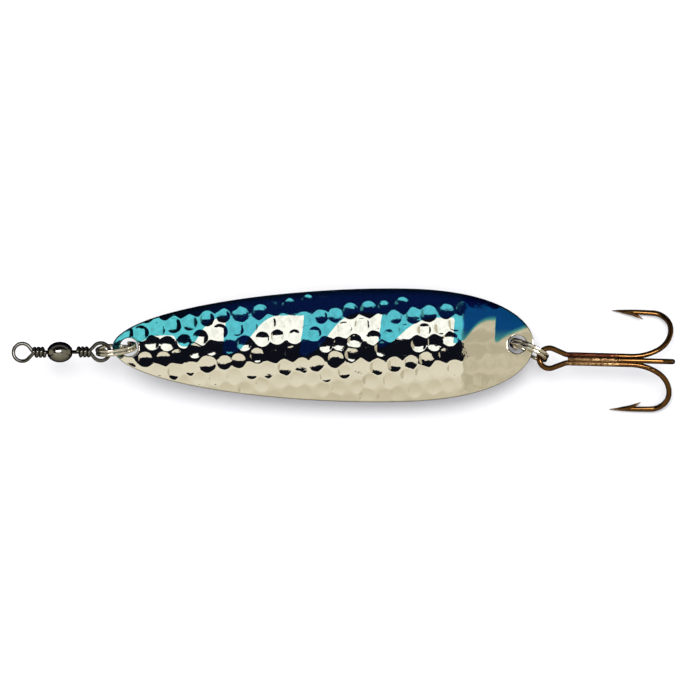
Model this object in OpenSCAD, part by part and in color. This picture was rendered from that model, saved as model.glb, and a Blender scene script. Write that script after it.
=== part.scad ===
// Spoon lure: a dished metal blade with a barrel swivel at its nose and a treble hook at its tail,
// each held by a split ring. All sizes are in millimetres.
// The origin is the centre of the line eye. +X runs back to the hook, +Z leaves the convex face.

/* [Blade] */
// Length of the blade from nose to tail
blade_length = 101.4; // [84:0.2:120]
// Greatest width of the blade
blade_width = 27.4; // [22:0.2:34]
// Thickness of the sheet
blade_thickness = 1.2; // [0.8:0.1:1.5]
// Share of the length from the nose to the widest place
widest_share = 0.637; // [0.5:0.01:0.7]
// Slope of the dished sheet at its widest rim, in degrees
rim_slope = 22; // [10:1:28]
// Length of the tail that is bent down
tail_length = 19; // [14:1:24]
// Slope of the bent tail, in degrees
tail_slope = 9; // [4:1:14]
// Diameter of the ring hole at each end
hole_diameter = 4.4; // [4.2:0.1:4.8]
// Distance from each tip to the centre of its hole
hole_inset = 4; // [3.8:0.1:4.6]

/* [Split rings] */
// Diameter of the rings' wire
ring_wire = 0.8; // [0.6:0.05:0.95]
// Gap that the front ring leaves between the blade's nose and the swivel
ring_play = 0.3; // [0.2:0.1:3]
// Turn of the front ring out of the blade's middle plane, in degrees
front_ring_turn = 8; // [-20:1:20]
// Lean of the front ring's top towards the blade's -Y side, in degrees
front_ring_lean = 10; // [0:1:14]
// Turn of the rear ring out of the blade's middle plane, in degrees
rear_ring_turn = -26; // [-40:1:40]
// Lean of the rear ring's top towards the blade's +Y side, in degrees
rear_ring_lean = 10; // [0:1:14]

/* [Swivel] */
// Diameter of the swivel's wire
swivel_wire = 0.85; // [0.7:0.05:0.95]
// Outer diameter of each wire eye
eye_diameter = 5.1; // [4.9:0.1:6]
// Turns of wire round each stem
wrap_turns = 3; // [2:1:5]
// Length of the barrel
barrel_length = 5.9; // [5.4:0.1:8]
// Diameter of the barrel at its middle
barrel_diameter = 5; // [4.6:0.1:6]
// Length of bare stem between the barrel and the ring eye
bare_stem = 1; // [0.4:0.05:1.4]

/* [Treble hook] */
// Diameter of the hook wire
hook_wire = 1.3; // [1:0.05:1.5]
// Outer width of the hook's eye
hook_eye_width = 6.2; // [5.8:0.1:7]
// Length of the shank from the eye's neck to the bend
shank_length = 15; // [12:0.5:20]
// Distance from shank to spear, wire centre to wire centre
hook_gape = 12.3; // [10:0.1:14]
// Length of the spear from bend to point
spear_length = 10; // [8.5:0.1:11]
// Gap between the two lower shanks
shank_gap = 0.65; // [0.3:0.05:0.9]
// Turn of the hook about its eye, in degrees
hook_turn = -2; // [-6:1:6]

/* [Hidden] */
$fn = 48;

// Fits
running_clearance = 0.04;
loose_clearance = 0.3;
wrap_gap = 0.05;
wrap_clearance = 0.15;
stem_play = 0.7;
coil_gap = 0.06;
hook_slack = 0.7;
braze_film = 0.06;

// Swivel wire: eye loop, stem and wraps
swivel_r = swivel_wire / 2;
eye_r = (eye_diameter - swivel_wire) / 2;
eye_throat = 1.27 * eye_r;
neck_bend_r = 1.1 * swivel_wire;
stem_r = 1.05 * swivel_r;
wrap_r = stem_r + swivel_r + wrap_gap;
wrap_pitch = 1.1 * swivel_wire;
wrap_end = eye_throat + wrap_turns * wrap_pitch + swivel_r;
head_r = 1.25 * swivel_wire;
head_length = 0.8 * swivel_wire;

// Barrel: end walls hold the stems, the cavity holds the heads
barrel_wall = 0.8;
barrel_bore_r = stem_r + running_clearance;
cavity_r = head_r + loose_clearance;
barrel_start = wrap_end + wrap_clearance;
barrel_end = barrel_start + barrel_length;
line_head = barrel_start + barrel_wall + stem_play;
ring_head = barrel_end - barrel_wall - running_clearance;
ring_eye_x = barrel_end + bare_stem + wrap_end;

// Split rings: two coils side by side, just wide enough to span from a hole to the swivel's eye
coil_pitch = ring_wire + coil_gap;
ring_room = ring_wire / 2 + loose_clearance;
eye_offset = sqrt(pow(eye_r - swivel_r - ring_room, 2) - pow(coil_pitch / 2, 2));
hole_offset = sqrt(pow(hole_diameter / 2 - ring_room, 2) - pow(coil_pitch / 2, 2));
ring_reach = hole_inset + ring_play + eye_diameter / 2 + eye_offset;
coil_r = (ring_reach + hole_offset) / 2;

// Blade: nose, holes and tail in the part's frame
front_hole_x = ring_eye_x - eye_offset + ring_reach * cos(front_ring_turn);
blade_y = ring_reach * sin(front_ring_turn);
nose_x = front_hole_x - hole_inset;
tail_x = nose_x + blade_length;
rear_hole_x = tail_x - hole_inset;
widest_x = nose_x + widest_share * blade_length;
nose_fullness = 1.82;
tail_fullness = 2.57;
tail_start = tail_x - tail_length;
tail_bend = 3;
outline_points = 72;
outline_rings = 9;

// Rear ring and hook eye: the eye lies level with the tail hole
rear_z = sheet_drop(rear_hole_x);
hook_r = hook_wire / 2;
hook_eye_r = hook_eye_width / 2 - hook_r;
hook_x = rear_hole_x + ring_reach * cos(rear_ring_turn) + hook_slack;
hook_y = blade_y + ring_reach * sin(rear_ring_turn);

// Hook wire: eye legs, three bends of falling radius, spear and barb
lower_slope = 30;
eye_leg_slope = 22;
leg_bend_r = 2 * hook_wire;
bend_sweeps = [35, 55, 88];
bend_shares = [0.94, 0.56, 0.365];
bend_rise = bend_shares[0] + (bend_shares[1] - bend_shares[0]) * cos(bend_sweeps[0]) + bend_shares[2];
bend_radii = [for (share = bend_shares) share * hook_gape / bend_rise];
shank_spread = hook_wire + shank_gap;
third_rise = sqrt(pow(hook_wire + braze_film, 2) - pow(shank_spread / 2, 2));
braze_length = 0.7 * shank_length;
wire_sides = 10;

// Height of the sheet's middle line: level up to a short bend, then straight down the tail
function sheet_drop(x) = let (
        bend = min(max(x - tail_start, 0), tail_bend),
        straight = max(x - tail_start - tail_bend, 0))
    -tan(tail_slope) * (pow(bend, 2) / (2 * tail_bend) + straight);

// Height of the sheet's middle surface: the same parabola across, all along the blade
function sheet_z(x, y) = sheet_drop(x) - pow(y, 2) / blade_width * tan(rim_slope);

// A point on the blade's outline, by angle from the tail
function rim_point(a) = let (
        c = cos(a),
        reach = c > 0 ? tail_x - widest_x : nose_x - widest_x,
        fullness = c > 0 ? tail_fullness : nose_fullness)
    [widest_x + reach * pow(abs(c), 2 / fullness), blade_width / 2 * sin(a)];

// A vector of length one
function unit(v) = v / norm(v);

// Direction of a wire at each of its points
function directions(p) = [for (i = [0 : len(p) - 1])
    unit(p[min(i + 1, len(p) - 1)] - p[max(i - 1, 0)])];

// Side vectors that follow a wire without twisting
function sides(d, v, i = 0) = i == len(d) ? [] : let (s = unit(v - (v * d[i]) * d[i]))
    concat([s], sides(d, s, i + 1));

// Points of a wire bent in one plane, from steps of [straight run, bend angle, bend radius]
function bent(steps, p, a, i = 0) = i == len(steps) ? [p] : let (
        run = steps[i][0],
        turn = steps[i][1],
        q = p + run * [cos(a), sin(a)],
        r = steps[i][2] * (turn < 0 ? -1 : 1),
        c = q + r * [-sin(a), cos(a)],
        n = ceil(abs(turn) / 15),
        arc = [for (k = [0 : n]) n == 0 ? q : c + r * [sin(a + turn * k / n), -cos(a + turn * k / n)]])
    concat(run > 0 ? [p] : [], [for (k = [0 : 1 : n - 1]) arc[k]],
        bent(steps, arc[n], a + turn, i + 1));

// Points of a hook in its own plane, along the shank and out to the spear
function hook_curve() = bent([
        [shank_length, bend_sweeps[0], bend_radii[0]],
        [0, bend_sweeps[1], bend_radii[1]],
        [0, bend_sweeps[2], bend_radii[2]],
        [0.25 * spear_length, 0, 1],
        [0.2 * spear_length, 0, 1],
        [0.2 * spear_length, 0, 1],
        [0.2 * spear_length, 0, 1],
        [0.15 * spear_length, 0, 1]], [0, 0], 0);

// A solid wire through points p with radius r at each
module wire(p, r, side, count) {
    d = directions(p);
    s = sides(d, side);
    last = len(p) - 1;
    points = [for (i = [0 : last]) for (k = [0 : count - 1])
        p[i] + r[i] * (cos(360 * k / count) * s[i] + sin(360 * k / count) * cross(d[i], s[i]))];
    walls = [for (i = [0 : last - 1]) for (k = [0 : count - 1]) let (
            j = (k + 1) % count,
            a = i * count,
            b = a + count)
        each [[a + k, b + k, b + j], [a + k, b + j, a + j]]];
    caps = [[for (k = [0 : count - 1]) k], [for (k = [count - 1 : -1 : 0]) last * count + k]];
    polyhedron(points = points, faces = concat(walls, caps));
}

// One end of the swivel: the eye's centre is at the origin and its stem runs along +X
module swivel_eye(head_start) {
    half_angle = asin(eye_r / eye_throat);
    leg = sqrt(pow(eye_throat, 2) - pow(eye_r, 2));
    neck = neck_bend_r * tan(half_angle / 2);
    loop = bent([[swivel_wire, -half_angle, neck_bend_r], [leg - neck, 180 + 2 * half_angle, eye_r],
        [leg, 0, 1]], [eye_throat + neck + swivel_wire, 0], 180);
    last = len(loop) - 1;
    half = floor(last / 2);
    lift = [for (i = [0 : last]) i < half ? 0 : wrap_r * (1 - cos(180 * (i - half) / (last - half))) / 2];
    loop_path = [for (i = [0 : last - 1]) [loop[i][0], loop[i][1], lift[i]]];
    wrap_path = [for (a = [0 : 24 : 360 * wrap_turns])
        [eye_throat + wrap_pitch * a / 360, wrap_r * sin(a), wrap_r * cos(a)]];
    path = concat(loop_path, wrap_path);
    wire(path, [for (i = path) swivel_r], [0, 0, 1], wire_sides);
    translate([eye_throat + neck + swivel_wire / 2, 0, 0])
        rotate([0, 90, 0])
            cylinder(r = stem_r, h = head_start + head_length / 2 - eye_throat - neck - swivel_wire / 2);
    translate([head_start, 0, 0])
        rotate([0, 90, 0])
            cylinder(r = head_r, h = head_length);
}

// A split ring in the XZ plane, centred at the origin: two coils joined by one crossing at its foot
module split_ring() {
    end_gap = 40;
    crossing = 30;
    path = [for (a = [end_gap : 10 : 720 - end_gap]) let (
            share = min(1, max(0, (a - 360 + crossing) / (2 * crossing))))
        [coil_r * sin(a), coil_pitch / 2 * cos(180 * share), -coil_r * cos(a)]];
    wire(path, [for (i = path) ring_wire / 2], [0, 1, 0], wire_sides);
}

// Half of the double hook's wire, from the far end of its eye to the point of one hook
function hook_half() = let (
        neck = leg_bend_r * tan(eye_leg_slope / 2),
        eye_drop = hook_eye_r - shank_spread / 2,
        leg = (eye_drop - hook_eye_r * (1 - cos(eye_leg_slope))) / sin(eye_leg_slope),
        eye = bent([[0, -90 - eye_leg_slope, hook_eye_r], [leg - neck, eye_leg_slope, leg_bend_r]],
            [-hook_eye_r, 0], 90),
        last = eye[len(eye) - 1],
        curve = hook_curve())
    concat([for (p = eye) [p[0], p[1], 0]],
        [for (i = [1 : len(curve) - 1]) let (p = curve[i])
            [last[0] + p[0], shank_spread / 2 + p[1] * cos(lower_slope), -p[1] * sin(lower_slope)]]);

// Radii along a hook: full wire, then a spear that narrows to its point
function hook_radii(count) = let (taper = [0.9, 0.78, 0.6, 0.38, 0.08])
    [for (i = [0 : count - 1]) let (k = i - count + len(taper)) hook_r * (k < 0 ? 1 : taper[k])];

// Place along +X where the eye's legs become straight shanks
function neck_x() = let (p = hook_half()) p[len(p) - len(hook_curve())][0];

// The barb of one hook, in the hook's own plane
module barb() {
    curve = hook_curve();
    tip = curve[len(curve) - 1];
    back = unit(curve[len(curve) - 2] - tip);
    inward = [back[1], -back[0]];
    root = tip + 0.3 * spear_length * back;
    middle = tip + 0.5 * spear_length * back + 0.5 * hook_wire * inward;
    free = tip + 0.75 * spear_length * back + 1.6 * hook_wire * inward;
    path = [for (p = [root, middle, free]) [p[0], p[1], 0]];
    wire(path, [0.3 * hook_wire, 0.3 * hook_wire, 0.04 * hook_wire], [0, 0, 1], 8);
}

// The three shanks in section, seen along -X
module shank_sections(r) {
    for (p = [[shank_spread / 2, 0], [-shank_spread / 2, 0], [0, third_rise]])
        translate(p)
            circle(r = r);
}

module line_eye() color([0.2, 0.19, 0.15]) swivel_eye(line_head);

module ring_eye() color([0.2, 0.19, 0.15])
    translate([ring_eye_x, 0, 0])
        rotate([0, 0, 180])
            swivel_eye(ring_eye_x - ring_head);

module swivel_barrel() color([0.16, 0.15, 0.12]) {
    half = barrel_length / 2;
    oval = 1.06 * half;
    cavity = half - barrel_wall;
    outside = [for (i = [-12 : 12]) let (z = half * sin(7.5 * i))
        [barrel_diameter / 2 * sqrt(1 - pow(z / oval, 2)), z]];
    inside = [[barrel_bore_r, half], [barrel_bore_r, cavity], [cavity_r, cavity],
        [cavity_r, -cavity], [barrel_bore_r, -cavity], [barrel_bore_r, -half]];
    translate([barrel_start + half, 0, 0])
        rotate([0, 90, 0])
            rotate_extrude()
                polygon(concat(outside, inside));
}

module front_split_ring() color([0.72, 0.7, 0.64])
    translate([front_hole_x, blade_y, 0])
        rotate([0, 0, front_ring_turn])
            translate([hole_offset - coil_r, 0, 0])
                rotate([front_ring_lean, 0, 0])
                    split_ring();

module rear_split_ring() color([0.72, 0.7, 0.64])
    translate([rear_hole_x, blade_y, rear_z])
        rotate([0, 0, rear_ring_turn])
            translate([coil_r - hole_offset, 0, 0])
                rotate([-rear_ring_lean, 0, 0])
                    split_ring();

module blade() color([0.75, 0.72, 0.62]) {
    flat = concat([[widest_x, 0]], [for (ring = [1 : outline_rings]) for (k = [0 : outline_points - 1])
        let (p = rim_point(360 * k / outline_points), share = ring / outline_rings)
        [widest_x + share * (p[0] - widest_x), share * p[1]]]);
    count = len(flat);
    points = [for (side = [0.5, -0.5]) for (p = flat)
        [p[0], p[1], sheet_z(p[0], p[1]) + side * blade_thickness]];
    centre = [for (k = [0 : outline_points - 1]) let (j = (k + 1) % outline_points)
        [0, 1 + j, 1 + k]];
    bands = [for (ring = [0 : outline_rings - 2]) for (k = [0 : outline_points - 1]) let (
            j = (k + 1) % outline_points,
            a = 1 + ring * outline_points,
            b = a + outline_points)
        each [[a + k, a + j, b + j], [a + k, b + j, b + k]]];
    upper = concat(centre, bands);
    lower = [for (f = upper) [count + f[0], count + f[2], count + f[1]]];
    first = 1 + (outline_rings - 1) * outline_points;
    rim = [for (k = [0 : outline_points - 1]) let (
            a = first + k,
            b = first + (k + 1) % outline_points)
        each [[a, b, count + b], [a, count + b, count + a]]];
    translate([0, blade_y, 0])
        difference() {
            polyhedron(points = points, faces = concat(upper, lower, rim));
            for (x = [front_hole_x, rear_hole_x])
                translate([x, 0, sheet_drop(x) - 2 * blade_thickness])
                    cylinder(d = hole_diameter, h = 4 * blade_thickness);
        }
}

// Places the treble hook's pieces, drawn with the middle of the eye at the origin
module hook_place() {
    translate([hook_x, hook_y, rear_z])
        rotate([0, 0, hook_turn])
            children();
}

module double_hook() color([0.4, 0.28, 0.16])
    hook_place() {
        half = hook_half();
        last = len(half) - 1;
        mirrored = [for (i = [last : -1 : 1]) [half[i][0], -half[i][1], half[i][2]]];
        radii = hook_radii(last + 1);
        wire(concat(mirrored, half), concat([for (i = [last : -1 : 1]) radii[i]], radii), [0, 0, 1],
            wire_sides);
        for (hand = [1, -1])
            translate([neck_x(), hand * shank_spread / 2, 0])
                rotate([hand == 1 ? -lower_slope : 180 + lower_slope, 0, 0])
                    barb();
    }

module single_hook() color([0.4, 0.28, 0.16])
    hook_place()
        translate([neck_x(), 0, third_rise])
            rotate([90, 0, 0]) {
                curve = hook_curve();
                wire([for (p = curve) [p[0], p[1], 0]], hook_radii(len(curve)), [0, 0, 1], wire_sides);
                barb();
            }

module braze_seam() color([0.45, 0.25, 0.12])
    hook_place()
        translate([neck_x() + hook_wire, 0, 0])
            rotate([90, 0, 90])
                linear_extrude(height = braze_length)
                    difference() {
                        hull()
                            shank_sections(0.3 * hook_wire);
                        shank_sections(hook_r);
                    }

line_eye();
swivel_barrel();
ring_eye();
front_split_ring();
blade();
rear_split_ring();
double_hook();
single_hook();
braze_seam();
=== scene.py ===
# A spoon lure: a dished, hammered metal blade with a barrel swivel at its nose and a treble hook at
# its tail, each held by a split ring. Shapes are worked out in millimetres and end up in metres.
import math
import random

import bmesh
import bpy
from mathutils import Matrix, Vector, kdtree


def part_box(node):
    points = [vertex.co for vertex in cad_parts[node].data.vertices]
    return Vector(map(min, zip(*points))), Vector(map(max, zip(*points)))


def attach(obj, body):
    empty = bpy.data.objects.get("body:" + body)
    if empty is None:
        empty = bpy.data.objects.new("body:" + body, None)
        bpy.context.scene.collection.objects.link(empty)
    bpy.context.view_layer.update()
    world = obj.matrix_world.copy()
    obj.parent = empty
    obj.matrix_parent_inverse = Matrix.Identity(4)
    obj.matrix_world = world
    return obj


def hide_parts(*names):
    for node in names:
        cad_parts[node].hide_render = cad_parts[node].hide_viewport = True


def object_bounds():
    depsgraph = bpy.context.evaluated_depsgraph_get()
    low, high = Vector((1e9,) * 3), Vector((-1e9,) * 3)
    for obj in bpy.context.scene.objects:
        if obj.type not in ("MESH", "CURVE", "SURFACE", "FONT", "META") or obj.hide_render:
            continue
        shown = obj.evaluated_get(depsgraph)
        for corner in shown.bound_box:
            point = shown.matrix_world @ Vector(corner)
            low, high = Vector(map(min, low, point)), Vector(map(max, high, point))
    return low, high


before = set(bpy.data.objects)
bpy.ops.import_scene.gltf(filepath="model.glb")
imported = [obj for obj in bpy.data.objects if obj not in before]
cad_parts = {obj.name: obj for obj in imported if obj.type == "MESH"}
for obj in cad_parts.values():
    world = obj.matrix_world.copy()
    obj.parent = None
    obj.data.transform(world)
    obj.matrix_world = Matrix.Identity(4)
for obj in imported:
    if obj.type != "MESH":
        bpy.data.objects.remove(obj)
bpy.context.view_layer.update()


# Blade: one sheet of brass cut to a long oval, dished across and bent down at its tail. Round dents
# are hammered over its convex face, then it is nickel plated and sprayed with blue lacquer along one
# side. A round hole at each end takes a split ring.
MM = 0.001
low, high = (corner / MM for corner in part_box("blade"))
nose_x = low.x
tail_x = high.x
blade_length = tail_x - nose_x
blade_middle = (nose_x + tail_x) / 2
blade_y = (low.y + high.y) / 2
blade_half = (high.y - low.y) / 2
widest_x = nose_x + 0.637 * blade_length
nose_fullness = 1.82
tail_fullness = 2.57
sheet_thickness = 1.2
rim_slope = math.tan(math.radians(22))
edge_round = 0.25
hole_r = 2.2
hole_inset = 4
hole_margin = 0.5
holes = [nose_x + hole_inset, tail_x - hole_inset]
tail_start = tail_x - 19
tail_bend = 3
tail_slope = math.tan(math.radians(9))


def outline_end(x):
    """Length and fullness of the outline's end, nose or tail, that a place lies in."""
    if x < widest_x:
        return widest_x - nose_x, nose_fullness
    return tail_x - widest_x, tail_fullness


def outline_share(x, y):
    """How far out a place is: 0 in the middle of the widest line, 1 on the blade's outline."""
    reach, fullness = outline_end(x)
    return (abs(x - widest_x) / reach) ** fullness + (y / blade_half) ** 2


def half_width(x):
    """Half the blade's width at a place along it."""
    return blade_half * math.sqrt(max(0, 1 - outline_share(x, 0)))


def sheet_drop(x):
    """Height of the sheet's middle line, which is level up to the bend before the tail."""
    bend = min(max(x - tail_start, 0), tail_bend)
    straight = max(x - tail_start - tail_bend, 0)
    return -tail_slope * (bend ** 2 / (2 * tail_bend) + straight)


def rim_distance(x, y):
    """Distance from a place on the blade to its outline, true near the outline."""
    least_steepness = 0.01
    reach, fullness = outline_end(x)
    along = fullness * (abs(x - widest_x) / reach) ** (fullness - 1) / reach
    across = 2 * y / blade_half ** 2
    return max(0, 1 - outline_share(x, y)) / max(math.hypot(along, across), least_steepness)


# Dents: a loose hexagon pattern, each struck a little off its place, and shallow on the tail
dent_pitch = 4.05
dent_rows = range(-8, 9)
dent_columns = range(-16, 17)
row_spacing = 0.866
dent_turn = Matrix.Rotation(math.radians(9), 2)
dent_scatter = 0.55
dent_radii = (1.65, 2.1)
dent_angles = (6.5, 12)
dent_slant = 0.4
dent_margin = 2
tail_smoothing = 0.8
smooth_start = tail_start - 0.5
smooth_run = 3
strike = random.Random(6)
dents = []
for row in dent_rows:
    for column in dent_columns:
        step = Vector((column + 0.5 * (row % 2), row_spacing * row)) * dent_pitch
        place = dent_turn @ step
        place.x += blade_middle + strike.uniform(-dent_scatter, dent_scatter)
        place.y += strike.uniform(-dent_scatter, dent_scatter)
        radius = strike.uniform(*dent_radii)
        depth = radius / 2 * math.tan(math.radians(strike.uniform(*dent_angles)))
        depth *= 1 - tail_smoothing * min(max((place.x - smooth_start) / smooth_run, 0), 1)
        slant = Vector([strike.uniform(-dent_slant, dent_slant) for axis in "xy"])
        in_length = nose_x - dent_margin < place.x < tail_x + dent_margin
        if in_length and abs(place.y) < half_width(place.x) + dent_margin:
            dents.append((place, radius, depth, slant))
dent_tree = kdtree.KDTree(len(dents))
for index, (place, *_) in enumerate(dents):
    dent_tree.insert((place.x, place.y, 0), index)
dent_tree.balance()
dents_near = 4
under_share = 0.7


def dent_depth(x, y, power):
    """Depth of the dents at a place: round hollows that cut into one another."""
    deepest = 0
    for _, index, gap in dent_tree.find_n((x, y, 0), dents_near):
        place, radius, depth, slant = dents[index]
        if gap < radius:
            arm = (Vector((x, y)) - place) / radius
            deepest = max(deepest, depth * (1 + slant.dot(arm)) * (1 - arm.dot(arm)) ** power)
    return deepest


def face_height(x, y, side):
    """Height of the upper (1) or lower (-1) face, with its edges rounded off."""
    middle = sheet_drop(x) - y ** 2 / (2 * blade_half) * rim_slope
    gap = min(rim_distance(x, y), *[math.hypot(x - hole, y) - hole_r for hole in holes])
    inward = max(0, edge_round - max(0, gap))
    fall = edge_round - math.sqrt(edge_round ** 2 - inward ** 2)
    dent = dent_depth(x, y, 1) if side > 0 else under_share * dent_depth(x, y, 2)
    return middle + side * (sheet_thickness / 2 - fall) - dent


def hole_at(vert):
    """The hole whose edge a place lies on, or None on the blade's outline."""
    for hole in holes:
        if (vert.co.xy - Vector((hole, 0))).length < hole_r + hole_margin:
            return hole
    return None


grid_along = 430
grid_across = 106
end_crowding = 0.08
rim_crowding = 0.06
weld = 0.0005
lacquered_slot = 0
bare_slot = 1
blade_mesh = bmesh.new()
rim_gap = blade_mesh.verts.layers.float.new("rim_gap")
for side in (1, -1):
    grid = bmesh.ops.create_grid(blade_mesh, x_segments=grid_along, y_segments=grid_across, size=1)
    face = grid["verts"]
    for vert in face:
        u, v = vert.co.x, vert.co.y
        x = blade_middle + blade_length / 2 * ((1 + end_crowding) * u - end_crowding * u ** 9)
        y = half_width(x) * ((1 + rim_crowding) * v - rim_crowding * v ** 7)
        vert.co = (x, y, face_height(x, y, side))
        vert[rim_gap] = rim_distance(x, y)
    sheet_faces = {f for vert in face for f in vert.link_faces}
    for f in sheet_faces:
        f.material_index = lacquered_slot if side > 0 else bare_slot
    for hole in holes:
        middle = Vector((hole, 0))
        whole = [f for f in sheet_faces if f.is_valid]
        cut = [f for f in whole if (f.calc_center_median().xy - middle).length < hole_r]
        bmesh.ops.delete(blade_mesh, geom=cut, context="FACES")
        for vert in face:
            if vert.is_valid and vert.is_boundary and hole_at(vert) == hole:
                arm = (vert.co.xy - middle).normalized() * hole_r
                x, y = hole + arm.x, arm.y
                vert.co = (x, y, face_height(x, y, side))
bmesh.ops.remove_doubles(blade_mesh, verts=blade_mesh.verts, dist=weld)
open_edges = [e for e in blade_mesh.edges if e.is_boundary]
for hole in holes + [None]:
    loop = [e for e in open_edges if all(hole_at(vert) == hole for vert in e.verts)]
    for wall in bmesh.ops.bridge_loops(blade_mesh, edges=loop)["faces"]:
        wall.material_index = bare_slot
bmesh.ops.translate(blade_mesh, vec=(0, blade_y, 0), verts=blade_mesh.verts)


def finished(mesh, name, *finishes):
    """Turns a mesh in millimetres into a named piece in metres with its finishes."""
    bmesh.ops.recalc_face_normals(mesh, faces=mesh.faces)
    bmesh.ops.scale(mesh, vec=(MM, MM, MM), verts=mesh.verts)
    for f in mesh.faces:
        f.smooth = True
    data = bpy.data.meshes.new(name)
    mesh.to_mesh(data)
    mesh.free()
    for finish in finishes:
        data.materials.append(finish)
    piece = bpy.data.objects.new(name, data)
    bpy.context.scene.collection.objects.link(piece)
    return piece


class Signal:
    """One output in a finish's nodes. Sums written with it become Math nodes."""

    def __init__(self, tree, out):
        self.tree = tree
        self.out = out

    def node(self, kind, settings, inputs, out=0):
        """Adds a node of any kind, its settings first, and gives one of its outputs."""
        made = self.tree.nodes.new(kind)
        for name, value in settings.items():
            if name == "points":
                curve = made.mapping.curves[0].points
                while len(curve) < len(value):
                    curve.new(0.5, 0.5)
                for point, place in zip(curve, value):
                    point.location = place
                    point.handle_type = "AUTO_CLAMPED"
                made.mapping.update()
            else:
                setattr(made, name, value)
        self.feed(made, inputs)
        return Signal(self.tree, made.outputs[out])

    def feed(self, made, inputs):
        """Links or sets a node's inputs."""
        for name, value in inputs.items():
            if isinstance(value, Signal):
                self.tree.links.new(value.out, made.inputs[name])
            else:
                made.inputs[name].default_value = value

    def maths(self, operation, first, second):
        """A sum of two signals or numbers."""
        return self.node("ShaderNodeMath", {"operation": operation}, {0: first, 1: second})

    def __add__(self, other):
        return self.maths("ADD", self, other)

    def __sub__(self, other):
        return self.maths("SUBTRACT", self, other)

    def __rsub__(self, other):
        return self.maths("SUBTRACT", other, self)

    def __mul__(self, other):
        return self.maths("MULTIPLY", self, other)

    def __truediv__(self, other):
        return self.maths("DIVIDE", self, other)

    __radd__ = __add__
    __rmul__ = __mul__

    def axis(self, name):
        """One coordinate of a place."""
        return self.node("ShaderNodeSeparateXYZ", {}, {"Vector": self}, name)

    def between(self, start, end):
        """0 before start, 1 after end, with a soft step from one to the other."""
        return self.node("ShaderNodeMapRange", {"interpolation_type": "SMOOTHSTEP"},
                         {"Value": self, "From Min": start, "From Max": end})

    def grain(self, size, detail=2.0):
        """Cloudy noise with blobs of a size in millimetres, read at this place."""
        return self.node("ShaderNodeTexNoise", {},
                         {"Vector": self, "Scale": 1 / (size * MM), "Detail": detail})

    def mixed(self, first, second):
        """A colour on its way from first to second by this share."""
        return self.node("ShaderNodeMix", {"data_type": "RGBA"}, {0: self, 6: first, 7: second}, 2)

    def bumped(self, height):
        """A surface normal for this height, of at most that many millimetres."""
        return self.node("ShaderNodeBump", {},
                         {"Height": self, "Distance": height * MM, "Strength": 1.0})


def new_finish(name):
    """A finish with its shader, and the place on the object in metres."""
    finish = bpy.data.materials.new(name)
    finish.use_nodes = True
    nodes = finish.node_tree.nodes
    place = Signal(finish.node_tree, nodes.new("ShaderNodeTexCoord").outputs["Object"])
    return finish, nodes["Principled BSDF"], place


nickel_bright = (0.82, 0.79, 0.71, 1)
nickel_dull = (0.77, 0.735, 0.64, 1)
turquoise = (0.078, 0.44, 0.475, 1)
# Nearly black blue: painted shade along the lacquered rim, standing in for the dark room that the
# rounded edge reflects
painted_dark_rim = (0.004, 0.012, 0.03, 1)
deep_blue = (0.001, 0.09, 0.33, 1)
navy_pigment = (0.008, 0.025, 0.25, 1)

# Lower border of the lacquer: points along the nose, then teeth with their foot, top and two runs
tooth_edge = 0.15
tooth_corner = 0.8
tooth_toe = 1.6
tooth_heel = 0.5
border = [
    (nose_x, -0.8), (28.0, 1.2), (32.3, 2.85), (35.0, 2.85), (36.9, 1.8),
    (38.2, 0.2), (39.6, 0.1), (40.8, 0.7), (43.3, 5.2), (46.5, 6.8)]
teeth = [
    (47.9, -2.0, 7.4, 3.6, 9.0), (66.6, -2.2, 7.8, 3.4, 9.5), (85.1, -0.4, 6.6, 2.6, 11.5),
    (102.8, 0.4, 6.2, 2.6, 6.6), (112.9, 0.9, 5.2, 1.8, 7.7)]
for start, foot, top, foot_run, rise_run in teeth:
    border += [
        (start, border[-1][1]), (start + tooth_edge, foot + tooth_corner), (start + tooth_toe, foot),
        (start + foot_run, foot + tooth_heel), (start + foot_run + rise_run, top)]
border_drop = 5.0
border_room = 20.0
tooth_lean = 0.22
border_wander = 0.6
border_blur = 0.28
tail_blur = 0.8

lacquered, shader, place = new_finish("hammered_nickel_and_blue_lacquer")
x = place.axis("X") / MM
y = place.axis("Y") / MM - blade_y
wander = (place.grain(3.0) - 0.5) * border_wander
along = (x - tooth_lean * y + wander - nose_x) / blade_length
points = [((at - nose_x) / blade_length, (level + border_drop) / border_room) for at, level in border]
curve = along.node("ShaderNodeFloatCurve", {"points": points}, {"Value": along})
edge = curve * border_room - border_drop
tail = x.between(tail_start + 1.6, tail_start + 2.4)
paint = ((y - edge + wander) / (border_blur + tail_blur * tail)).between(-1.0, 1.0)
film = paint.between(0.0, 0.5)
gap = place.node("ShaderNodeAttribute", {"attribute_name": "rim_gap"}, {}, "Fac")
deep = tail * y.between(0.5, 4.0) * paint.between(0.4, 1.0)
smear = place.grain(6.0, 3.0)
rub = place.grain(1.3)
nickel = smear.mixed(nickel_bright, nickel_dull)
# Blue of the lacquer; within half a millimetre of the outline it turns nearly black, a painted dark
# reflection along the rim
blue = gap.between(0.15, 0.5).mixed(painted_dark_rim, deep.mixed(turquoise, deep_blue))
place.feed(shader, {
    "Base Color": film.mixed(nickel, blue),
    "Metallic": 1.0,
    "Roughness": 0.02 + 0.04 * smear + 0.02 * paint,
    "Coat Weight": paint * (0.25 - 0.2 * tail),
    "Coat Roughness": 0.03,
    "Normal": (smear * 0.7 + rub * 0.3).bumped(0.06),
})
pigment = place.node("ShaderNodeBsdfPrincipled", {}, {
    "Base Color": navy_pigment,
    "Roughness": 0.6,
    "Specular IOR Level": 0.0,
})
# Less navy pigment towards the nose: 15 % at the nose, coming in fully between 36 and 54 mm along
nose_pigment_share = 0.15 + 0.85 * x.between(36.0, 54.0)
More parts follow.
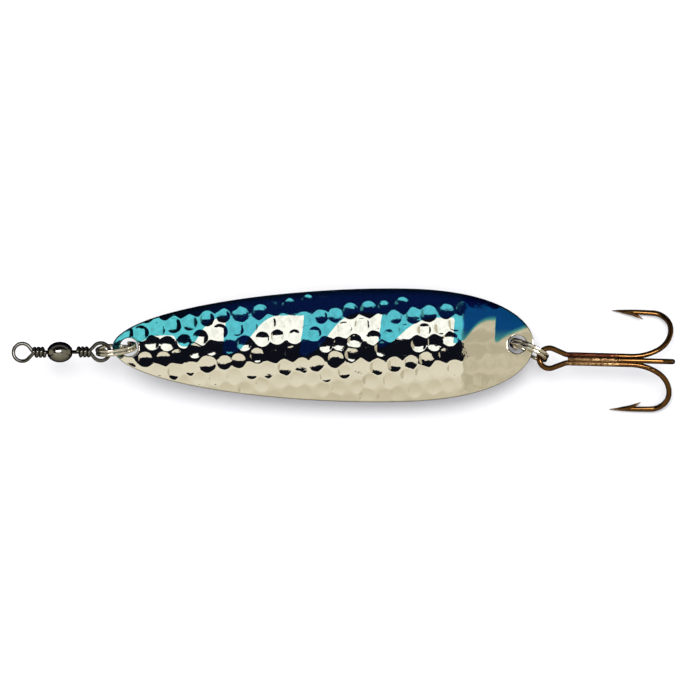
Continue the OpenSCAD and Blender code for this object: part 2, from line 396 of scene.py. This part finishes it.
# The navy pigment fades to nothing at the outline over about 2.4 mm, painted shade that leaves the rim
# dark
cover = paint * 0.1 * gap.between(-0.3, 2.4) * nose_pigment_share
metal = Signal(place.tree, shader.outputs["BSDF"])
surface = place.node("ShaderNodeMixShader", {}, {0: cover, 1: metal, 2: pigment})
place.feed(place.tree.nodes["Material Output"], {"Surface": surface})

bare_nickel, shader, place = new_finish("bare_nickel")
smear = place.grain(6.0, 3.0)
rub = place.grain(0.3, 4.0)
place.feed(shader, {
    "Base Color": smear.mixed(nickel_bright, nickel_dull),
    "Metallic": 1.0,
    "Roughness": 0.07 + 0.1 * smear,
    "Normal": (smear * 0.5 + rub * 0.5).bumped(0.005),
})

blade = finished(blade_mesh, "blade_hammered", lacquered, bare_nickel)
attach(blade, "blade")
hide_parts("blade")


# Split rings: hard spring wire, nickel plated, wound into two coils that lie side by side. One coil
# crosses over to the other at the foot. Each ring is threaded through its hole by prying an end out.
class BentWire:
    """One length of wire, pushed out of a die and bent as it comes."""

    def __init__(self, radius, start, heading, sides=20, open_end=False, squareness=2.0):
        self.mesh = bmesh.new()
        self.place = Vector(start)
        self.heading = Vector(heading).normalized()
        self.radius = radius
        turn = self.heading.to_track_quat("Z", "Y").to_matrix().to_4x4()
        circle = bmesh.ops.create_circle(self.mesh, cap_ends=not open_end, segments=sides, radius=radius)
        ring = circle["verts"]
        for vert in ring:
            u, v = abs(vert.co.x / radius), abs(vert.co.y / radius)
            vert.co /= (u ** squareness + v ** squareness) ** (1 / squareness)
        bmesh.ops.transform(self.mesh, matrix=Matrix.Translation(self.place) @ turn, verts=ring)
        self.end = list({e for vert in ring for e in vert.link_edges})

    def run(self, length, radius=None, lift=(0, 0, 0)):
        """Straight wire, to a new radius if one is given, shifted sideways by lift."""
        grown = bmesh.ops.extrude_edge_only(self.mesh, edges=self.end)["geom"]
        verts = {g for g in grown if isinstance(g, bmesh.types.BMVert)}
        edges = [g for g in grown if isinstance(g, bmesh.types.BMEdge)]
        self.end = [e for e in edges if all(vert in verts for vert in e.verts)]
        shift = self.heading * length + Vector(lift)
        self.place += shift
        bmesh.ops.translate(self.mesh, vec=shift, verts=list(verts))
        if radius is not None:
            share = radius / self.radius
            middle = Matrix.Translation(-self.place)
            bmesh.ops.scale(self.mesh, vec=(share, share, share), space=middle, verts=list(verts))
            self.radius = radius
        return self

    def bend(self, degrees, radius, axis, rise=0.0, step=6):
        """A bend about an axis on the wire's own side, climbing along the axis by rise."""
        axis = Vector(axis).normalized()
        middle = self.place + radius * axis.cross(self.heading)
        return self.wind(degrees, middle, axis, rise, step)

    def wind(self, degrees, middle, axis, rise=0.0, step=6):
        """Winds the wire about an axis through a middle, climbing along the axis by rise."""
        axis = Vector(axis).normalized()
        steps = max(1, round(degrees / step))
        spun = bmesh.ops.spin(self.mesh, geom=self.end, cent=middle, axis=axis, dvec=axis * rise / steps,
                              angle=math.radians(degrees), steps=steps)["geom_last"]
        self.end = [g for g in spun if isinstance(g, bmesh.types.BMEdge)]
        turn = Matrix.Rotation(math.radians(degrees), 3, axis)
        self.place = Vector(middle) + turn @ (self.place - Vector(middle)) + axis * rise
        self.heading = turn @ self.heading
        return self

    def cut(self, rounding=0.0):
        """Ends the wire with a flat cut, its edge broken by a small rounding."""
        if rounding:
            self.run(rounding * 0.7, self.radius - rounding * 0.3)
            self.run(rounding * 0.3, self.radius - rounding * 0.7)
        bmesh.ops.edgeloop_fill(self.mesh, edges=self.end)
        return self.mesh


ring_wire_r = 0.4
ring_squareness = 3.0
coil_r = 4.595
coil_pitch = 0.86
coil_gap_angle = 40
crossing = 60
crossing_shares = (0.12, 0.25, 0.26, 0.25, 0.12)
ring_end_share = 0.75
ring_end_taper = 0.12
ring_end_round = 0.15
hole_offset = 1.437


def wound_ring():
    """A ring of two coils about the Y axis, wound from one end of its wire to the other."""
    flat = 360 - coil_gap_angle - crossing / 2
    gap = math.radians(coil_gap_angle)
    start = (coil_r * math.sin(gap), -coil_pitch / 2, coil_r * math.cos(gap))
    heading = (math.cos(gap), 0, -math.sin(gap))
    wire = BentWire(ring_end_share * ring_wire_r, start, heading, sides=24, squareness=ring_squareness)
    wire.run(ring_end_taper, ring_wire_r)
    wire.wind(flat, (0, -coil_pitch / 2, 0), (0, 1, 0))
    for share in crossing_shares:
        turn = crossing / len(crossing_shares)
        wire.wind(turn, (0, wire.place.y, 0), (0, 1, 0), rise=share * coil_pitch)
    wire.wind(flat, (0, coil_pitch / 2, 0), (0, 1, 0))
    return wire.cut(ring_end_round)


ring_bright = (0.86, 0.83, 0.75, 1)
ring_tarnished = (0.66, 0.61, 0.5, 1)
ring_nickel, shader, place = new_finish("ring_nickel")
drawn = place.grain(0.5, 3.0)
tarnish = place.grain(2.5, 3.0)
place.feed(shader, {
    "Base Color": tarnish.mixed(ring_bright, ring_tarnished),
    "Metallic": 1.0,
    "Roughness": 0.07 + 0.12 * tarnish,
    "Normal": drawn.bumped(0.006),
})

for name, node, body, hole_x, turn, hand, lean in [
        ("split_ring_front", "front_split_ring", "front_ring", holes[0], 8, -1, -10),
        ("split_ring_rear", "rear_split_ring", "rear_ring", holes[1], -26, 1, 10)]:
    coils = wound_ring()
    upright = Matrix.Rotation(math.radians(180 - lean), 3, "X")
    bmesh.ops.rotate(coils, matrix=upright, verts=coils.verts)
    bmesh.ops.translate(coils, vec=(hand * (coil_r - hole_offset), 0, 0), verts=coils.verts)
    bmesh.ops.rotate(coils, matrix=Matrix.Rotation(math.radians(turn), 3, "Z"), verts=coils.verts)
    bmesh.ops.translate(coils, vec=(hole_x, blade_y, sheet_drop(hole_x)), verts=coils.verts)
    ring = finished(coils, name, ring_nickel)
    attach(ring, body)
    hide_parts(node)


# Barrel swivel: a turned brass barrel closed over the upset heads of two wires, all black nickel
# plated. Each wire is bent into an eye, and its end is wrapped three times round its own stem.
swivel_r = 0.45
eye_r = 2.125
eye_throat = 1.27 * eye_r
eye_half_angle = math.degrees(math.asin(eye_r / eye_throat))
eye_leg = math.sqrt(eye_throat ** 2 - eye_r ** 2)
neck_r = 0.935
neck_length = neck_r * math.tan(math.radians(eye_half_angle / 2))
wrap_r = 0.921
wrap_pitch = 0.935
wrap_turns = 3
wrap_shift = 0.2
wrap_bend_r = 0.6
wire_end_round = 0.12
head_r = 1.06
head_length = 0.68
line_head_x = 7.579
ring_head_x = 11.139
ring_eye_x = 18.9075


def swivel_wire(head_x):
    """A wire from its head inside the barrel, along the stem, round the eye and back in wraps."""
    loop_rise, leg_rise, turn_rise = (share * wrap_r for share in (0.5, 0.4, 0.1))
    wire = BentWire(head_r, (head_x + head_length, 0, 0), (-1, 0, 0))
    wire.run(head_length).run(0, swivel_r)
    wire.run(head_x - eye_throat - neck_length)
    wire.bend(eye_half_angle, neck_r, (0, 0, -1), step=8)
    wire.run(eye_leg - neck_length)
    wire.bend(90 + eye_half_angle, eye_r, (0, 0, 1))
    wire.bend(90 + eye_half_angle, eye_r, (0, 0, 1), rise=loop_rise)
    climb = wrap_bend_r * math.cos(math.radians(eye_half_angle))
    leg = eye_leg - climb / math.sin(math.radians(eye_half_angle))
    wire.run(leg, lift=(wrap_shift, 0, leg_rise))
    wire.bend(90 - eye_half_angle, wrap_bend_r, (0, 0, 1), rise=turn_rise, step=8)
    stem = (wire.place.x, 0, 0)
    wire.wind(360 * wrap_turns, stem, (-1, 0, 0), rise=-wrap_turns * wrap_pitch, step=12)
    return wire.cut(wire_end_round)


wire_light = (0.18, 0.176, 0.158, 1)
wire_dark = (0.105, 0.102, 0.092, 1)
black_nickel, shader, place = new_finish("black_nickel")
patina = place.grain(1.6, 3.0)
fine = place.grain(0.25, 3.0)
place.feed(shader, {
    "Base Color": patina.mixed(wire_light, wire_dark),
    "Metallic": 1.0,
    "Roughness": 0.04 + 0.06 * patina,
    "Normal": fine.bumped(0.004),
})

barrel_light = (0.29, 0.286, 0.258, 1)
barrel_dark = (0.2, 0.198, 0.176, 1)
lathe_stretch = (6, 0.4, 0.4)
barrel_nickel, shader, place = new_finish("barrel_black_nickel")
patina = place.grain(1.2, 3.0)
turned = place.node("ShaderNodeMapping", {}, {"Vector": place, "Scale": lathe_stretch}).grain(1.0, 3.0)
place.feed(shader, {
    "Base Color": patina.mixed(barrel_light, barrel_dark),
    "Metallic": 1.0,
    "Roughness": 0.1 + 0.08 * patina,
    "Normal": turned.bumped(0.006),
})

low, high = (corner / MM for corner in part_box("swivel_barrel"))
barrel_half = (high.x - low.x) / 2
barrel_r = (high.z - low.z) / 2
barrel_middle = (low.x + high.x) / 2
barrel_bulge = 1.06
bore_r = 0.486
cavity_r = 1.3625
end_wall = 0.8
end_round = 0.14
profile_steps = 15
profile = []
for step in range(-profile_steps, profile_steps + 1):
    reach = (barrel_half - end_round) * math.sin(math.radians(90 * step / profile_steps))
    profile.append((reach, barrel_r * math.sqrt(1 - (reach / (barrel_bulge * barrel_half)) ** 2)))
lip = profile[-1][1] - end_round
end_profile = [
    (barrel_half, lip), (barrel_half, bore_r + end_round), (barrel_half - end_round, bore_r),
    (barrel_half - end_wall, bore_r), (barrel_half - end_wall, cavity_r)]
profile += end_profile + [(-along_x, out) for along_x, out in reversed(end_profile)]
barrel_mesh = bmesh.new()
corners = [barrel_mesh.verts.new((barrel_middle + along_x, 0, out)) for along_x, out in profile]
seam = [barrel_mesh.edges.new((corners[i - 1], corners[i])) for i in range(len(corners))]
bmesh.ops.spin(barrel_mesh, geom=corners + seam, cent=(0, 0, 0), axis=(1, 0, 0),
               angle=math.radians(360), steps=64, use_merge=True)
bmesh.ops.remove_doubles(barrel_mesh, verts=barrel_mesh.verts, dist=weld)
barrel = finished(barrel_mesh, "swivel_barrel_turned", barrel_nickel)
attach(barrel, "barrel")
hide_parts("swivel_barrel")

line_wire = swivel_wire(line_head_x)
line_eye = finished(line_wire, "line_eye_wire", black_nickel)
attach(line_eye, "line_eye")
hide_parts("line_eye")

ring_wire = swivel_wire(ring_eye_x - ring_head_x)
bmesh.ops.rotate(ring_wire, matrix=Matrix.Rotation(math.pi, 3, "Z"), verts=ring_wire.verts)
bmesh.ops.translate(ring_wire, vec=(ring_eye_x, 0, 0), verts=ring_wire.verts)
ring_eye = finished(ring_wire, "ring_eye_wire", black_nickel)
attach(ring_eye, "ring_eye")
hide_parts("ring_eye")


# Treble hook: one carbon steel wire is bent into the eye and two hooks, and a second wire with the
# third hook is laid in the groove on top of their shanks. Points are ground and barbs are cut and
# raised, then the three shanks are brazed together and the whole is lacquered bronze.
hook_r = 0.65
hook_eye_r = 2.45
shank_spread = 1.95
shank_start = 4.63
shank_length = 15
third_rise = 0.948
third_end_share = 0.8
third_end_taper = 0.2
eye_leg_slope = 22
leg_bend_r = 2.6
lower_slope = math.radians(30)
hook_bends = [(35, 11.635), (55, 6.932), (88, 4.518)]
eye_middle = Vector((126.75, -2.32, sheet_drop(holes[1])))
hook_turn = Matrix.Rotation(math.radians(-2), 3, "Z")
hook_lean = 0.035

# Steps of the ground spear: share of its length, share of the wire's thickness
spear = 10
spear_taper = [(0.25, 0.93), (0.2, 0.84), (0.2, 0.66), (0.2, 0.4), (0.12, 0.16), (0.03, 0.03)]

# Steps of the barb from its thin root near the point: share of the spear, slope off it, half thickness
barb_root_r = 0.1
barb_root_share = 0.12
barb_root_lift = 0.05
barb_root_slope = 0.06
barb_run = [(0.2, 0.07, 0.42), (0.2, 0.16, 0.5), (0.13, 0.5, 0.36), (0.13, 0.62, 0.04)]


def hooked(wire, inward):
    """Bends a hook towards a side, grinds its spear to a point and raises its barb."""
    axis = Vector((1, 0, 0)).cross(Vector(inward))
    wire.run(shank_length * 0.5).run(shank_length * 0.5)
    for degrees, radius in hook_bends:
        wire.bend(degrees, radius, axis, step=5)
    for share, thickness in spear_taper:
        wire.run(share * spear, thickness * hook_r)
    tip = wire.place.copy()
    back = -wire.heading
    side = back.cross(axis)
    mesh = wire.cut()
    root = tip + barb_root_share * spear * back + barb_root_lift * side
    barb = BentWire(barb_root_r, root, back + barb_root_slope * side, sides=12)
    for share, slope, thickness in barb_run:
        barb.heading = back + slope * side
        barb.run(share * spear, thickness)
    sliver = bpy.data.meshes.new("barb")
    barb.cut().to_mesh(sliver)
    mesh.from_mesh(sliver)
    bpy.data.meshes.remove(sliver)
    return mesh


bronze_bright = (0.23, 0.11, 0.034, 1)
bronze_dark = (0.08, 0.036, 0.011, 1)
brass_bright = (0.46, 0.29, 0.145, 1)
brass_dark = (0.15, 0.078, 0.033, 1)
scale_red = (0.16, 0.042, 0.02, 1)
scale_dark = (0.04, 0.01, 0.006, 1)
braze_ragged = 3.0
hook_bronze, shader, place = new_finish("hook_bronze")
cloud = place.grain(2.2, 3.0)
pits = place.grain(0.6, 4.0).between(0.35, 0.65)
x = place.axis("X") / MM - eye_middle.x
y = place.axis("Y") / MM - eye_middle.y + hook_lean * x
run = x + (cloud - 0.5) * braze_ragged
begun = run.between(shank_start - 1.0, shank_start)
ended = run.between(shank_start + 10.5, shank_start + 13.0)
brazed = begun * (1 - ended)
bronze = cloud.mixed(bronze_bright, bronze_dark)
reddened = y.between(-0.2, 0.75)
braze_film = reddened.mixed(pits.mixed(brass_bright, brass_dark), pits.mixed(scale_red, scale_dark))
place.feed(shader, {
    "Base Color": brazed.mixed(bronze, braze_film),
    "Metallic": 1.0,
    "Roughness": 0.06 + 0.08 * cloud + 0.22 * brazed,
    "Normal": (pits * brazed + 0.05 * pits).bumped(0.08),
})

eye_drop = hook_eye_r - shank_spread / 2
leg_sine = math.sin(math.radians(eye_leg_slope))
leg = (eye_drop - hook_eye_r * (1 - math.cos(math.radians(eye_leg_slope)))) / leg_sine
leg_neck = leg_bend_r * math.tan(math.radians(eye_leg_slope / 2))
half_wire = BentWire(hook_r, (-hook_eye_r, 0, 0), (0, 1, 0), open_end=True)
half_wire.bend(90 + eye_leg_slope, hook_eye_r, (0, 0, -1))
half_wire.run(leg - leg_neck)
half_wire.bend(eye_leg_slope, leg_bend_r, (0, 0, 1))
pair = hooked(half_wire, (0, math.cos(lower_slope), -math.sin(lower_slope)))
half = pair.verts[:] + pair.edges[:] + pair.faces[:]
bmesh.ops.mirror(pair, geom=half, axis="Y", merge_dist=0.001)
bmesh.ops.rotate(pair, matrix=hook_turn, verts=pair.verts)
bmesh.ops.translate(pair, vec=eye_middle, verts=pair.verts)
double_hook = finished(pair, "double_hook_wire", hook_bronze)
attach(double_hook, "treble")
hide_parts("double_hook")

third_start = (shank_start - third_end_taper, 0, third_rise)
third_wire = BentWire(third_end_share * hook_r, third_start, (1, 0, 0)).run(third_end_taper, hook_r)
third = hooked(third_wire, (0, 0, 1))
bmesh.ops.rotate(third, matrix=hook_turn, verts=third.verts)
bmesh.ops.translate(third, vec=eye_middle, verts=third.verts)
single_hook = finished(third, "single_hook_wire", hook_bronze)
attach(single_hook, "treble")
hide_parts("single_hook")

seam_bright = (0.50, 0.25, 0.10, 1)
seam_dark = (0.18, 0.06, 0.03, 1)
braze_metal, shader, place = new_finish("braze_metal")
pits = place.grain(0.4, 4.0)
place.feed(shader, {
    "Base Color": pits.mixed(seam_bright, seam_dark),
    "Metallic": 1.0,
    "Roughness": 0.3 + 0.2 * pits,
    "Normal": pits.bumped(0.06),
})
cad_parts["braze_seam"].data.materials.clear()
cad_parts["braze_seam"].data.materials.append(braze_metal)


# Floor: a plain sheet of pale paper that the lure lies on, level with its lowest hook. The metal
# doesn't show it, so that the wires keep their dark edges.
low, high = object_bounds()
floor_half = 3
paper_light = (0.88, 0.88, 0.885, 1)
paper_dark = (0.86, 0.86, 0.865, 1)
floor_mesh = bmesh.new()
bmesh.ops.create_grid(floor_mesh, x_segments=8, y_segments=8, size=floor_half / MM)
bmesh.ops.translate(floor_mesh, vec=(0, 0, low[2] / MM), verts=floor_mesh.verts)
paper, shader, place = new_finish("pale_paper")
fibre = place.grain(1.2, 4.0)
place.feed(shader, {
    "Base Color": fibre.mixed(paper_light, paper_dark),
    "Roughness": 0.9,
})
floor = finished(floor_mesh, "floor", paper)
floor.visible_glossy = False


# Studio light: an uneven cloth softbox, small lamps close over the swivel and the hook, and cream cards
# above and around the lure, which only the metal shows. The room is dark overhead with a pale band
# lower down, and a soft sun from the +Y side lights the paper. Its sizes are in metres.
def glowing(mesh, name, colours, share):
    """Makes a sheet of the studio that only metal shows, its glow going between two colours."""
    glow, shader, place = new_finish(name)
    place.feed(shader, {
        "Base Color": (0, 0, 0, 1),
        "Specular IOR Level": 0.0,
        "Emission Strength": 1.0,
        "Emission Color": share(place).mixed(*[(*colour, 1) for colour in colours]),
    })
    sheet = finished(mesh, name, glow)
    sheet.visible_camera = False
    sheet.visible_diffuse = False
    sheet.visible_shadow = False
    return sheet


def panel(name, x_range, y_range, colours, share=None, height=1.0):
    """A flat sheet above the lure, shaded from its -Y edge to its +Y edge unless a share is given."""
    mesh = bmesh.new()
    left, right = (x / MM for x in x_range)
    near, far = (y / MM for y in y_range)
    corners = [(left, near), (left, far), (right, far), (right, near)]
    mesh.faces.new([mesh.verts.new((x, y, height / MM)) for x, y in corners])
    return glowing(mesh, name, colours, share or (lambda place: place.axis("Y").between(*y_range)))


lamp = (9.0, 9.0, 9.0)
strong_lamp = (24.0, 24.0, 24.0)
lamp_height = 0.03
white_cloth = (1.40, 1.48, 1.47)
shaded_cloth = (1.06, 1.12, 1.11)
cream = (0.90, 0.87, 0.74)
shaded_cream = (0.70, 0.645, 0.50)
taupe = (0.55, 0.51, 0.39)
olive = (0.15, 0.14, 0.11)
cloth_fold = 150.0
panel("softbox", (-0.16, 0.33), (0.09, 0.48), (white_cloth, shaded_cloth),
      lambda place: place.grain(cloth_fold, 1.0).between(0.3, 0.7))
panel("lamp_swivel", (-0.006, 0.013), (0.0, 0.010), (lamp, lamp), height=lamp_height)
panel("lamp_hook", (0.140, 0.175), (-0.001, 0.006), (strong_lamp, strong_lamp), height=lamp_height)
panel("card_tail", (0.33, 1.6), (-1.0, 0.62), (shaded_cream, taupe),
      lambda place: place.grain(cloth_fold, 1.0).between(0.35, 0.65))
panel("card_front", (-1.3, 0.33), (-1.0, -0.24), (shaded_cream, cream))
card_low = panel("card_low", (-1.3, 1.6), (-0.95, 1.0), (olive, shaded_cream), height=0)
card_low.location = (0, -1.0, 0)
card_low.rotation_euler = (math.radians(90), 0, 0)
for name, place_x, reach in [("card_end", 1.1, (-0.9, 0.6)), ("card_nose", -1.1, (-0.3, 0.95))]:
    card = panel(name, reach, (-0.4, 0.4), (shaded_cream, taupe), height=0)
    card.location = (place_x, 0, 0)
    card.rotation_euler = (0, math.radians(-90), 0)

dark = (0.005, 0.006, 0.012)
pale = (0.25, 0.245, 0.236)
room_r = 3.0


def pale_band(place):
    """1 in a band of the room's wall above the floor line, 0 below it and overhead."""
    level = place.axis("Z") / room_r
    return level.between(-0.02, 0.15) * (1 - level.between(0.38, 0.50))


room_mesh = bmesh.new()
bmesh.ops.create_uvsphere(room_mesh, u_segments=48, v_segments=24, radius=room_r / MM)
glowing(room_mesh, "room", (dark, pale), pale_band)

sun = bpy.data.lights.new("soft_sun", "SUN")
sun.energy = 2.0
sun.angle = math.radians(45)
sunlight = bpy.data.objects.new("soft_sun", sun)
sunlight.rotation_euler = (math.radians(-27), math.radians(-6), 0)
sunlight.visible_glossy = False
bpy.context.scene.collection.objects.link(sunlight)

room_light = (0.92, 0.92, 0.95, 1)
world = bpy.data.worlds.new("pale_room")
world.use_nodes = True
world.node_tree.nodes["Background"].inputs["Color"].default_value = room_light
bpy.context.scene.world = world
world.cycles_visibility.glossy = False
bpy.context.scene.view_settings.view_transform = "Standard"


# Camera: far above the lure with a long lens, looking straight down, and turned a little so that the
# lure lies as in the photograph.
view_height = 1.5
view_width = 0.1683
centre_x = 0.0788
lens = bpy.data.cameras.new("camera")
lens.sensor_width = 36
lens.lens = lens.sensor_width * view_height / view_width
camera = bpy.data.objects.new("camera", lens)
camera.location = (centre_x, 0, view_height)
camera.rotation_euler = (0, 0, math.radians(-0.41))
bpy.context.scene.collection.objects.link(camera)
bpy.context.scene.camera = camera
